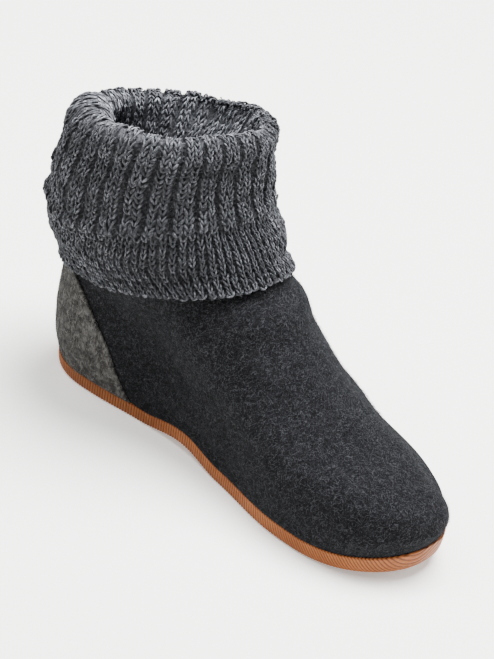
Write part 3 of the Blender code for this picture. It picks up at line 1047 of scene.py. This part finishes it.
def yarnMaterial(name, share):  # the marled yarn at a share of its tones, where a share under 1 is painted shade
    dark, middle, light = ([share * value for value in tone[:3]] + [1.0] for tone in knit["yarnTones"])
    material, shader, spot = newMaterial(name, {
        "Roughness": 0.9, "Specular IOR Level": 0.1, "Sheen Weight": 0.05, "Sheen Roughness": 0.5,
        "Sheen Tint": (0.85, 0.9, 1.0, 1.0)})
    onYarn = add(spot, "ShaderNodeSeparateXYZ", {0: attribute(shader, "yarn", "Vector")})
    run, cosine, sine = onYarn.node.outputs
    tone = attribute(shader, "tone")
    twist = times(run, knit["twist"] * fullTurn)
    turnCos, turnSin = maths("COSINE", twist), maths("SINE", twist)
    sideways = maths("SUBTRACT", times(cosine, turnCos), times(sine, turnSin))
    outward = maths("ADD", times(sine, turnCos), times(cosine, turnSin))
    ply = add(run, "ShaderNodeCombineXYZ", {0: times(run, 1.8), 1: sideways, 2: outward})
    links = {"Vector": ply, "W": times(tone, 41.0), "Scale": 1.9, "Detail": 1.5}
    strand = add(ply, "ShaderNodeTexNoise", links, "Fac", noise_dimensions="4D")
    fleck = noise(spot, scale=1100.0, roughness=0.6)
    strand = maths("ADD", strand, span(fleck, 0.25, 0.75, -0.09, 0.09, smooth=False))
    patchy = maths("ADD", noise(spot, scale=430.0, roughness=0.6), times(tone, 0.30))
    pale = blend(span(patchy, 0.52, 0.80), middle, light)
    # painted highlight on the yarn's outward face, painted shade on its sides and at the ends of each leg
    fromMiddle = maths("ABSOLUTE", maths("SUBTRACT", run, 0.5))
    paintedShading = times(span(sine, -0.5, 0.8, 0.18, 1.0), span(fromMiddle, 0.25, 0.5, 1.0, 0.35))
    base = blend(times(span(strand, 0.44, 0.58), paintedShading), dark, pale)
    # painted light: the yarn on the wall inside is scaled paler
    gain = span(attribute(shader, "inside"), 0.0, 1.0, 1.0, knit["insideLightGain"], smooth=False)
    base = add(base, "ShaderNodeVectorMath", {0: base, "Scale": gain}, operation="SCALE")
    height = maths("ADD", times(strand, 2.0), fleck)
    dress(shader, base, bump(height, strength=0.5, distance=0.0005))
    return material


def groundMaterial():
    material, shader, spot = newMaterial("knitGround", {"Roughness": 0.95, "Specular IOR Level": 0.1})
    speck = noise(spot, scale=700.0, detail=3.0, roughness=0.6)
    grain = span(speck, 0.40, 0.70)
    # painted light: the ground on the wall inside is paler
    outer, inner = (blend(grain, *knit[key]) for key in ("groundTones", "insideLightTones"))
    base = blend(attribute(shader, "inside"), outer, inner)
    dress(shader, base, bump(speck, strength=0.6, distance=0.0008))
    return material


def makeGround():
    columns = knit["ribs"] * knit["groundColumns"]
    share, rib = np.meshgrid(np.linspace(0, 2, knit["groundRows"]),
                             np.arange(columns) / knit["groundColumns"], indexing="ij")
    slot = slotRows(rib[0] * fullTurn / knit["ribs"])
    points = np.concatenate([knitFace(share, rib), slot])
    start, end = knit["napEnd"]
    nap = np.concatenate([ease(end - share, 0, end - start), np.zeros(slot.shape[:2])])
    inside = np.concatenate([insideLightShare(share), np.ones(slot.shape[:2])])
    faces = gridFaces(len(points), columns, closeRows=True)
    values = {"nap": nap, "inside": inside}
    return meshObject("knitGround", points, faces, groundMaterial(), values)


def stitchGrid(courses, low, wide, fine):  # share and rib of each stitch; wide and fine are places on a rib
    course = (np.arange(courses) + 0.5) / courses + low
    isFine = fineness(course) > 0.5
    parts = []
    for rows, places in ((course[~isFine], wide), (course[isFine], fine)):
        wales = np.arange(knit["ribs"])[:, None] + np.array(places)
        parts.append(np.stack(np.meshgrid(rows, wales.ravel(), indexing="ij")).reshape(2, -1))
    return np.concatenate(parts, axis=1)


def knitPiece(name, grid, wide, courses, seed, lift, shape, yarn, tilt=knit["tilt"]):
    share, rib = grid
    step, ribStep = 0.004, 0.06
    up = knitFace(share + step, rib, lift) - knitFace(share - step, rib, lift)
    around = knitFace(share, rib + ribStep, lift) - knitFace(share, rib - ribStep, lift)
    pitch = knitFace(share, rib + 0.5, lift, ribbed=False) - knitFace(share, rib - 0.5, lift, ribbed=False)
    tall = np.linalg.norm(up, axis=-1) / (2 * step) / courses
    size = [np.linalg.norm(pitch, axis=-1) * wide / knit["stitchWide"], tall / knit["stitchTall"],
            np.ones(tall.shape)]
    rng = np.random.default_rng(knit["seed"] + seed)
    values = {"out": unit(np.cross(around, up)), "up": unit(up), "size": np.stack(size, axis=-1),
              "tone": rng.uniform(0, 1, share.size), "inside": insideLightShare(share)}
    middle = knitFace(share, rib, lift) + rng.normal(0, knit["jitter"], (share.size, 3))
    points = meshObject(name + "Points", middle, [], None, values)
    made = grown(name, points, knitStitches, {
        "Stitch": shape, "Yarn": yarn, "Tilt": tilt, "Loose": knit["loose"], "Seed": knit["seed"]})
    drop(points)
    return made


def stitchShapes():  # the two legs of a stitch, the loop of a purl and the loop that ends a wale at the hem
    half = knit["yarn"] / 2
    leg = np.array([(0.06, -0.60, -0.45), (0.12, -0.36, 0.10), (0.20, -0.06, 0.42), (0.29, 0.24, 0.44),
                    (0.36, 0.54, 0.16), (0.39, 0.78, -0.38)])
    right = leg * np.array([knit["stitchWide"], knit["stitchTall"], knit["yarn"]])
    left = right * np.array([-1.0, 1.0, 1.0])
    bow = np.linspace(-1, 1, 6)
    arch = 1 - bow**2
    purl = np.stack([1.7 * bow, 0.8 * arch - 0.4, 0.45 * arch], axis=-1)
    hang = np.stack([1.45 * np.sin(1.5 * bow), 1.7 * bow**2 - 1.3, 0.4 * arch], axis=-1)
    legRadii = half * np.array([0.72, 0.95, 1.0, 1.0, 0.92, 0.7])
    purlRadii = half * np.array([0.6, 0.8, 0.9, 0.9, 0.8, 0.6])
    hangRadii = half * np.array([0.8, 0.95, 1.0, 1.0, 0.95, 0.8])
    return (tubeObject("stitchLegs", [right, left], legRadii, sides=4),
            tubeObject("purlLoop", [purl], purlRadii, sides=4),
            tubeObject("hemLoop", [hang], hangRadii, sides=5))


def makeStitches():
    # the purls between the ribs wear a darker copy of the yarn: painted shade
    yarn, valleyShadeYarn = yarnMaterial("marledYarn", 1.0), yarnMaterial("valleyShadeYarn", knit["valleyShadeShare"])
    legs, purl, hemLoop = shapes = stitchShapes()
    outer, inner, purls = knit["courses"]
    made = []
    for name, courses, low, seed in (("knitOutside", outer, 0.0, 0), ("knitInside", inner, 1.0, 1)):
        grid = stitchGrid(courses, low, knit["wideWales"], knit["fineWales"])
        wide = between(*knit["waleWidth"], fineness(grid[0]))
        made.append(knitPiece(name, grid, wide, courses, seed, knit["sink"] - knit["legSink"], legs, yarn))
    for name, low, wide, fine, own in (
            ("knitPurls", 0.0, knit["widePurls"], knit["finePurls"], valleyShadeYarn),
            ("knitInnerPurls", 1.0, (0.0,), (), yarn)):
        grid = stitchGrid(purls, low, wide, fine)
        made.append(knitPiece(name, grid, knit["purlWidth"], purls, 2, knit["purlLift"], purl, own))
    share, rib = stitchGrid(1, -0.5, (), knit["fineWales"])
    made.append(knitPiece("knitHem", (share + knit["hemShare"], rib), knit["hemWidth"], outer, 3,
                          knit["sink"] - knit["hemSink"], hemLoop, yarn, knit["hemTilt"]))
    for shape in shapes:
        drop(shape)
    return made


knitGround = makeGround()
knitNap = makeNap("knitNap", knitGround, knit)
finished(knitGround, "rib_knit", "cuff")
finished(knitNap, "rib_knit")
for piece in makeStitches():
    finished(piece, "rib_knit")


# pale floor and soft studio light

studio = dict(
    floorSize=40.0,
    floorTone=(0.95, 0.945, 0.915, 1.0),
    floorShade=0.985,  # of the tone, in its soft clouds
    floorGlow=0.48,  # a lit table, so that the floor is nearly white
    worldTone=(1.0, 0.995, 0.98, 1.0),
    worldStrength=0.11,
    lamps=[  # name, place, size and power
        ("overhead", (0.5, 0.0, 1.9), 1.4, 188.0),
        ("heelSide", (-0.45, 0.95, 2.0), 1.0, 30.0),
        ("cameraSide", (-0.8, -0.2, 2.2), 1.0, 18.0),
        ("toeSide", (0.75, -1.1, 0.9), 0.8, 10.0),
    ],
)


def makeFloor():
    half = studio["floorSize"] / 2 / mm
    points = [(-half, -half, 0.0), (half, -half, 0.0), (half, half, 0.0), (-half, half, 0.0)]
    tone = studio["floorTone"]
    material, shader, spot = newMaterial("paleFloor", {
        "Roughness": 0.75, "Specular IOR Level": 0.2, "Emission Color": tone,
        "Emission Strength": studio["floorGlow"]})
    shade = grey(studio["floorShade"], tone)
    dress(shader, blend(noise(spot, scale=6.0), tone, shade))
    return meshObject("paleFloor", points, [(0, 1, 2, 3)], material)


def makeLights():
    world = bpy.data.worlds.new("studioAir")
    world.use_nodes = True
    background = world.node_tree.nodes["Background"]
    background.inputs["Color"].default_value = studio["worldTone"]
    background.inputs["Strength"].default_value = studio["worldStrength"]
    bpy.context.scene.world = world
    for name, spot, size, power in studio["lamps"]:
        data = bpy.data.lights.new(name, "AREA")
        data.shape, data.size, data.energy = "DISK", size, power
        turn = Vector(spot).to_track_quat("Z", "Y").to_matrix().to_4x4()
        linked(name, data).matrix_world = Matrix.Translation(spot) @ turn


makeFloor()
makeLights()
print("floor and lights set")
